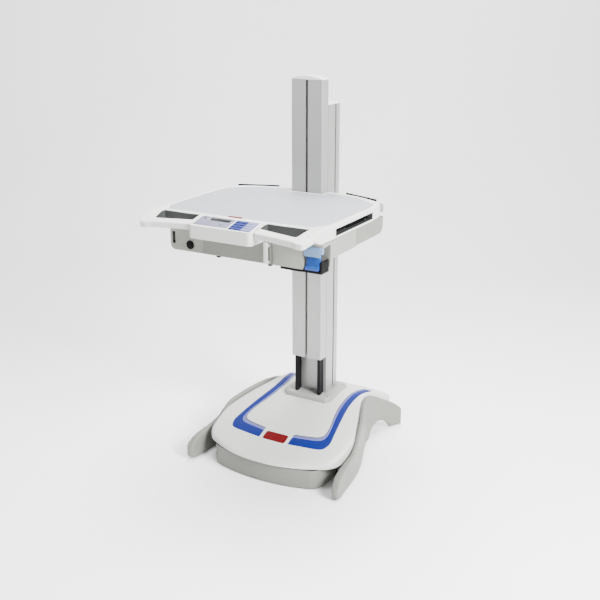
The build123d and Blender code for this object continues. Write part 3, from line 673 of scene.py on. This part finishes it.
def cover_pad(name, half_width, half_depth, middle_y, radius, rise, roll):
    """Lozenge laid on the cover, crowned and rounded at its rim."""
    corners = [(half_width, -half_depth), (half_width, half_depth), (-half_width, half_depth),
               (-half_width, -half_depth)]
    outline = resampled(rounded(corners, radius) + rounded(corners, radius)[:1], 97)[:-1]
    verts, faces = [], []
    rings = (1.0, 0.985, 0.95, 0.9, 0.8, 0.6, 0.35, 0.12)
    for k, ring in enumerate(rings):
        up = rise * min(1.0, (1 - ring) / roll) ** 0.5 if k else -0.5
        for x, y in outline * ring + [GRAPHICS_X, middle_y]:
            verts.append((x * MM, y * MM + MAST_Y, (float(cover_height(x, y)) + up) * MM))
    count = len(outline)
    for k in range(len(rings) - 1):
        for i in range(count):
            j = (i + 1) % count
            faces.append((k * count + i, k * count + j, (k + 1) * count + j, (k + 1) * count + i))
    last = (len(rings) - 1) * count
    faces.append(tuple(last + i for i in range(count)))
    obj = mesh_object(name, verts, faces, 60)
    base = bmesh.new()
    base.from_mesh(obj.data)
    bmesh.ops.recalc_face_normals(base, faces=base.faces[:])
    base.to_mesh(obj.data)
    base.free()
    return obj


def build_badge():
    rim = cover_pad("base_badge_rim", 47, 22, -298, 11, 1.0, 0.05)
    stand_in(rim, "base_badge", "shell_white")
    face = cover_pad("base_badge_face", 43, 18.5, -298, 9, 1.9, 0.10)
    stand_in(face, "base_badge")


# ---------------------------------------------------------------- worktop
TOP = 884
LIP_START = -505
LIP_END = -590
LIP_FALL = 22
FRAME_DEPTH = 41
HANDLE_DEPTH = 18              # height of the handle bars at the front
THINNING = 2.4                 # how fast the plate thins from frame to handle
FALL_POWER = 1.25              # above 1 the front falls slowly first, then faster
FRAME_LOW = TOP - FRAME_DEPTH
GRIP_ZONE = ((109, 248), (-561, -502))                      # plan area round a handle opening
SLOT_ZONE = ((240, 283), (-427.5, -190.5), (850.5, 871.5))  # mouth of the mouse tray's slot
PANEL_HALF = 106.5
PANEL_BACK = -507.7


def mirrored_outline(half):
    """Whole outline from its right half, which starts and ends near the middle."""
    left = [(-x, y) for x, y in reversed(half) if abs(x) > 1e-6]
    return list(half) + left


def frame_outline():
    half = [(PANEL_HALF, PANEL_BACK), (PANEL_HALF, -568), (170, -574), (232, -582), (250, -588), (270, -588),
            (281, -556), (284, -440), (284, -190), (279, -128), (258, -102), (184, -66), (118, -48),
            (58, -44), (58, -86)]
    radii = [1, 8, 60, 20, 10, 12, 40, 120, 60, 14, 14, 60, 40, 3, 2]
    return rounded(mirrored_outline(half), radii + radii[::-1], 8)


def mat_outline(grow):
    half = [(0, -489 - grow), (238 + grow, -487 - grow), (266 + grow, -440), (268 + grow, -190),
            (262 + grow, -140 + grow), (180, -84 + grow), (112, -66 + grow), (66 - grow, -62 + grow),
            (66 - grow, -94 + grow), (0, -94 + grow)]
    radii = [0, 12, 40, 60, 12, 60, 20, 2, 2, 0]
    return rounded(half + [(-x, y) for x, y in reversed(half[1:-1])], radii + radii[-2:0:-1], 6)


def handle_outline(side):
    pts = [(110, -541.5), (235, -559), (246, -503), (110, -506)]
    loop = rounded(pts, [8, 10, 8, 8], 6)
    return [(side * x, y) for x, y in loop]


def lip_drop(obj):
    """Let the front of a plate fall towards the user, and thin it from below."""
    for v in obj.data.vertices:
        y = (v.co.y - MAST_Y) / MM
        if y < LIP_START:
            share = min((LIP_START - y) / (LIP_START - LIP_END), 1.0)
            height = (v.co.z / MM - FRAME_LOW) / (TOP - FRAME_LOW)
            top = TOP - LIP_FALL * share ** FALL_POWER
            thick = FRAME_DEPTH + (HANDLE_DEPTH - FRAME_DEPTH) * min(share * THINNING, 1.0)
            v.co.z = (top - thick * (1 - height)) * MM
    obj.data.update()


def inside(point, zone):
    return all(low < value < high for value, (low, high) in zip(point, zone))


def build_frame():
    loops = [frame_outline(), mat_outline(0.6), handle_outline(1), handle_outline(-1)]
    obj = slab("worktop_frame_moulding", loops, FRAME_LOW, TOP, 4.5, 4)
    stations = [(0, MAST_Y + y * MM, 0) for y in range(LIP_END, LIP_START + 1, 5)]
    sliced(obj, (0, 1, 0), stations)
    lip_drop(obj)
    shade(obj, 35)
    cut(obj, (240, -427, 851), (300, -191, 871))
    stand_in(obj, "worktop_frame")
    # Painted shade: the inner walls of the handle openings and the walls at the mouth of the mouse tray slot
    # take the dark pedal grey, which stands in for the shade inside these recesses.
    obj.data.materials.append(FINISHES["pedal_grey"])
    for face in obj.data.polygons:
        x, y, z = abs(face.center.x) / MM, (face.center.y - MAST_Y) / MM, face.center.z / MM
        grip_wall_shade = inside((x, y), GRIP_ZONE) and abs(face.normal.z) < 0.45
        slot_mouth_shade = inside((x, y, z), SLOT_ZONE)
        if grip_wall_shade or slot_mouth_shade:
            face.material_index = 1
    return obj


def build_mat():
    obj = slab("worktop_surface", [mat_outline(0.0)], TOP - 6, TOP - 0.8, 0.7, 2)
    return stand_in(obj, "worktop_mat")


# ---------------------------------------------------------------- control panel
PANEL_Y = (-580, -508)
PANEL_FRONT_Z = 870
PANEL_SLOPE = 0.238
DISPLAY = ((-59, 9), (-540, -524))
KEYPAD = ((24, 96), (-574, -519))
LABEL = ((-92, 20), (-573, -519))
BUTTONS = ((-78, -530), (-8, -556))


def panel_place(x, y, up=0.0):
    """Frame whose XY plane lies in the panel's face, at a point of it."""
    tilt = math.atan(PANEL_SLOPE)
    z = PANEL_FRONT_Z + (y - PANEL_Y[0]) * PANEL_SLOPE + up
    move = Matrix.Translation((x * MM, y * MM + MAST_Y, z * MM))
    return move @ Matrix.Rotation(tilt, 4, "X")


def face_plate(name, x, y, thick, radius, bevel, up):
    """Rounded plate lying in the panel's face; up is where its middle plane is."""
    half_x, half_y = (x[1] - x[0]) / 2, (y[1] - y[0]) / 2
    outline = rounded([(half_x, -half_y), (half_x, half_y), (-half_x, half_y), (-half_x, -half_y)],
                      radius, 5)
    place = panel_place((x[0] + x[1]) / 2, (y[0] + y[1]) / 2, up)
    return slab(name, [outline], -thick / 2, thick / 2, bevel, 2, place)


def grown_box(box, by):
    return tuple((low - by, high + by) for low, high in box)


def panel_label():
    """Thin printed sheet on the panel's face, with windows for the display and the buttons."""
    middle_x, middle_y = (LABEL[0][0] + LABEL[0][1]) / 2, (LABEL[1][0] + LABEL[1][1]) / 2
    half_x, half_y = (LABEL[0][1] - LABEL[0][0]) / 2, (LABEL[1][1] - LABEL[1][0]) / 2
    loops = [rounded([(half_x, -half_y), (half_x, half_y), (-half_x, half_y), (-half_x, -half_y)], 4, 5)]
    windows = [grown_box(DISPLAY, 1.0)]
    windows += [((x - 5, x + 5), (y - 5, y + 5)) for x, y in BUTTONS]
    for (x0, x1), (y0, y1) in windows:
        corners = [(x1, y0), (x1, y1), (x0, y1), (x0, y0)]
        loops.append(rounded([(x - middle_x, y - middle_y) for x, y in corners], 4.9, 5))
    return slab("panel_label", loops, -0.35, 0.35, 0.12, 1, panel_place(middle_x, middle_y, 0.3))


def build_panel():
    stand_in(moulded("control_panel_housing", 2.0, 4, 25), "control_panel_housing")
    stand_in(face_plate("display_window_glass", *DISPLAY, 2.4, 2.5, 0.5, -1.5), "display_window")
    label = panel_label()
    finish(label, SLOT_OF["control_panel_housing"], "membrane")
    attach(label, BODY_OF["control_panel_housing"])
    sheet = face_plate("keypad_sheet", *KEYPAD, 2.2, 3, 0.5, -1.8)
    stand_in(sheet, "keypad", "keypad_silicone")
    blue, lilac = [], []
    for row in range(4):
        y = KEYPAD[1][0] + 2.5 + row * 13
        for column in range(2):
            x = KEYPAD[0][0] + 3 + column * 19
            blue.append(face_plate("key", (x, x + 16), (y, y + 10.5), 2.6, 2.2, 0.8, 0.0))
        bar = (KEYPAD[0][1] - 31, KEYPAD[0][1] - 2)
        lilac.append(face_plate("key", bar, (y, y + 11.5), 2.2, 2.2, 0.7, -0.2))
    stand_in(joined("keypad_keys", blue), "keypad", "keypad_keys")
    stand_in(joined("keypad_bars", lilac), "keypad", "keypad_lilac")
    for number in (1, 2):
        stand_in(moulded(f"panel_button_{number}", 0.8, 3), f"panel_button_{number}")


# ---------------------------------------------------------------- everything else
ROUNDED = {
    "mast_foot": 2.5, "fixed_mast_cap": 1.5, "lift_column_cap": 2.0, "front_skirt": 1.2,
    "side_pod": 1.6, "front_unit": 1.4, "drawer_front": 0.9, "drawer_pull": 1.6, "drawer_tray": 0.6,
    "mouse_tray": 0.8, "front_unit_strip": 0.9, "lever_bracket": 0.8, "release_lever": 1.6,
    "drawer_lock_bezel": 0.8, "drawer_lock_cylinder": 0.3, "rear_bumper_strips": 1.4,
    "unit_bump_stops": 0.5, "lift_bracket": 0.8, "rear_panel": 0.5, "power_inlet": 0.6,
    "battery_pack": 2.0, "power_module": 0.8, "worktop_badge": 0.4, "mast_foot_screws": 0.4,
}
ROLLER_FROM = 258.5            # the rear bumpers are corner rollers beyond this half width
# The front unit takes the lighter copy of the shell grey as painted light. The drawer front stays in the
# darker shell_grey as painted shade under the panel.
LOOK = {"drawer_lock_bezel": "black_plastic", "drawer_lock_cylinder": "black_plastic",
        "front_unit": "unit_grey_painted_lit", "mast_foot": "collar"}
SKIN = {"side_rail_left": (3.2, 9), "side_rail_right": (3.2, 9)}


def build_rest():
    for node, width in ROUNDED.items():
        stand_in(moulded(node, width), node, LOOK.get(node))
    strips = bpy.data.objects["rear_bumper_strips_moulded"]
    strips.data.materials.append(FINISHES["roller_grey"])
    for face in strips.data.polygons:
        face.material_index = int(abs(face.center.x) / MM > ROLLER_FROM)
    for node, (voxel, rounds) in SKIN.items():
        stand_in(softened(node, voxel, rounds), node)
    for corner in ("front_left", "front_right", "rear_left", "rear_right"):
        stand_in(moulded(f"caster_fork_{corner}", 1.0), f"caster_fork_{corner}")
        if corner.startswith("rear"):
            stand_in(moulded(f"brake_pedal_{corner}", 1.0), f"brake_pedal_{corner}")


build_cover()
build_stripe()
build_badge()
build_frame()
build_mat()
build_panel()
build_rest()
for node, obj in NODES.items():
    obj.data.materials.clear()
    obj.data.materials.append(FINISHES[SLOT_OF[node]])

# ---------------------------------------------------------------- stage
STAGE = bpy.context.scene.collection


def stage_floor():
    """Pale floor that curves up into a backdrop."""
    verts, faces = [], []
    profile = [(-6.0, 0.0), (2.0, 0.0)]
    for k in range(1, 13):
        turn = math.radians(90 * k / 12)
        profile.append((2.0 + 1.6 * math.sin(turn), 1.6 * (1 - math.cos(turn))))
    profile.append((3.6, 7.0))
    for y, z in profile:
        verts += [(-9, y, z), (9, y, z)]
    for k in range(len(profile) - 1):
        faces.append((2 * k, 2 * k + 1, 2 * k + 3, 2 * k + 2))
    floor = mesh_object("studio_floor", verts, faces, 80)
    turn = Matrix.Rotation(math.radians(29), 4, "Z")
    floor.data.transform(turn)
    f = Finish("studio_white")
    f.color(f.mix(f.span(f.noise(1.5, 2), 0, 1), (0.93, 0.93, 0.93), (0.96, 0.96, 0.96)))
    f.rough(f.span(f.noise(8, 2), 0.75, 0.85))
    floor.data.materials.append(f.material)


def area_light(name, place, target, size, power):
    data = bpy.data.lights.new(name, "AREA")
    data.shape = "RECTANGLE"
    data.size, data.size_y = size
    data.energy = power
    lamp = bpy.data.objects.new(name, data)
    lamp.location = place
    lamp.rotation_euler = (Vector(target) - Vector(place)).to_track_quat("-Z", "Y").to_euler()
    STAGE.objects.link(lamp)


stage_floor()
area_light("key", (2.8, -0.9, 2.2), (0, 0, 0.6), (1.3, 1.3), 420)
area_light("top", (-0.2, 0.2, 3.4), (0, 0, 0.6), (1.8, 1.8), 300)
area_light("fill", (-2.4, -2.6, 1.6), (0, 0, 0.6), (2.0, 2.0), 25)

world = bpy.data.worlds.new("studio")
world.use_nodes = True
world.node_tree.nodes["Background"].inputs["Color"].default_value = (1, 1, 1, 1)
world.node_tree.nodes["Background"].inputs["Strength"].default_value = 0.6
bpy.context.scene.world = world

camera_data = bpy.data.cameras.new("camera")
camera_data.lens = 54.1
camera_data.sensor_width = 36
camera = bpy.data.objects.new("camera", camera_data)
camera.location = (1.382, -2.371, 1.468)
camera.rotation_euler = (math.radians(71.54), 0, math.radians(29.55))
STAGE.objects.link(camera)
bpy.context.scene.camera = camera
